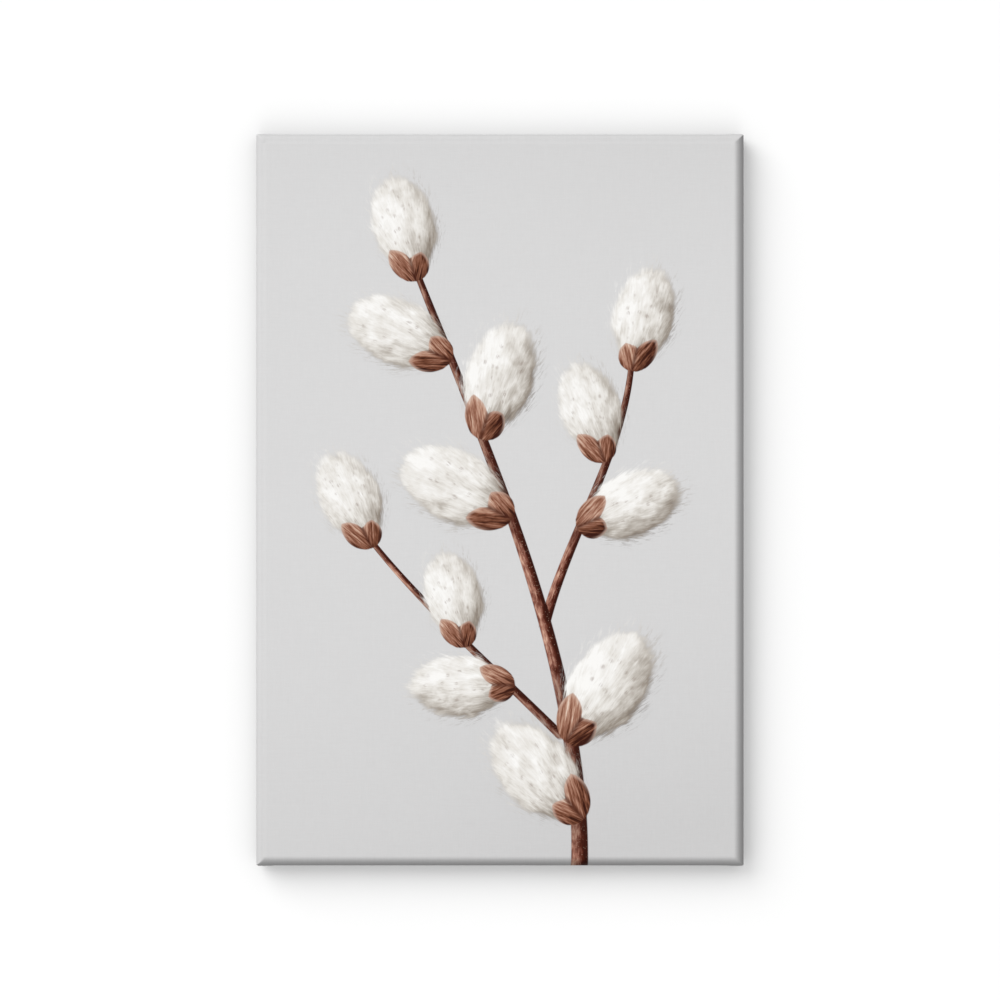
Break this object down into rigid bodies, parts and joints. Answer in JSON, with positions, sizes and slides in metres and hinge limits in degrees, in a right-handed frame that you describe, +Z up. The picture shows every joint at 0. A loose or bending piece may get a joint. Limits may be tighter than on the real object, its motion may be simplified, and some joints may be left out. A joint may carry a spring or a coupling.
{
  "type": "stretched canvas print",
  "caption": "Upright stretched canvas print: printed cloth drawn round a mitred wooden stretcher frame, stapled behind, with corner wedges and a sawtooth hanger.",
  "frame": {"origin": "middle notch of the sawtooth hanger on the back of the top bar, at mid-thickness of the strip: the point that sits on the wall nail", "axes": "+Z up along the long side, +X to the right as seen from the printed face, -Y the way the printed face looks, +Y towards the wall"},
  "size_m": [0.4, 0.0227, 0.6],
  "materials": {
    "printed_canvas": "woven cloth with a matt white coating, printed on the front and sides, plain off-white behind",
    "stretcher_pine": "planed, unfinished pine",
    "wedge_beech": "sawn, unfinished beech",
    "staple_wire": "galvanised flat wire",
    "hanger_steel": "brass-plated pressed strip",
    "nail_steel": "brass-plated round heads",
    "bumper_rubber": "matt black rubber"
  },
  "bodies": {
    "root": {"canvas": "printed_canvas", "bar_top": "stretcher_pine", "bar_bottom": "stretcher_pine", "bar_left": "stretcher_pine", "bar_right": "stretcher_pine", "wedge_top_left_across": "wedge_beech", "wedge_top_left_upright": "wedge_beech", "wedge_top_right_across": "wedge_beech", "wedge_top_right_upright": "wedge_beech", "wedge_bottom_left_across": "wedge_beech", "wedge_bottom_left_upright": "wedge_beech", "wedge_bottom_right_across": "wedge_beech", "wedge_bottom_right_upright": "wedge_beech", "staple_left_1": "staple_wire", "staple_left_2": "staple_wire", "staple_left_3": "staple_wire", "staple_left_4": "staple_wire", "staple_left_5": "staple_wire", "staple_left_6": "staple_wire", "staple_left_7": "staple_wire", "staple_left_8": "staple_wire", "staple_left_9": "staple_wire", "staple_left_10": "staple_wire", "staple_right_1": "staple_wire", "staple_right_2": "staple_wire", "staple_right_3": "staple_wire", "staple_right_4": "staple_wire", "staple_right_5": "staple_wire", "staple_right_6": "staple_wire", "staple_right_7": "staple_wire", "staple_right_8": "staple_wire", "staple_right_9": "staple_wire", "staple_right_10": "staple_wire", "staple_top_1": "staple_wire", "staple_top_2": "staple_wire", "staple_top_3": "staple_wire", "staple_top_4": "staple_wire", "staple_top_5": "staple_wire", "staple_top_6": "staple_wire", "staple_bottom_1": "staple_wire", "staple_bottom_2": "staple_wire", "staple_bottom_3": "staple_wire", "staple_bottom_4": "staple_wire", "staple_bottom_5": "staple_wire", "staple_bottom_6": "staple_wire", "staple_top_left": "staple_wire", "staple_top_right": "staple_wire", "staple_bottom_left": "staple_wire", "staple_bottom_right": "staple_wire", "hanger": "hanger_steel", "hanger_nail_left": "nail_steel", "hanger_nail_right": "nail_steel", "bumper_left": "bumper_rubber", "bumper_right": "bumper_rubber"}
  },
  "joints": []
}
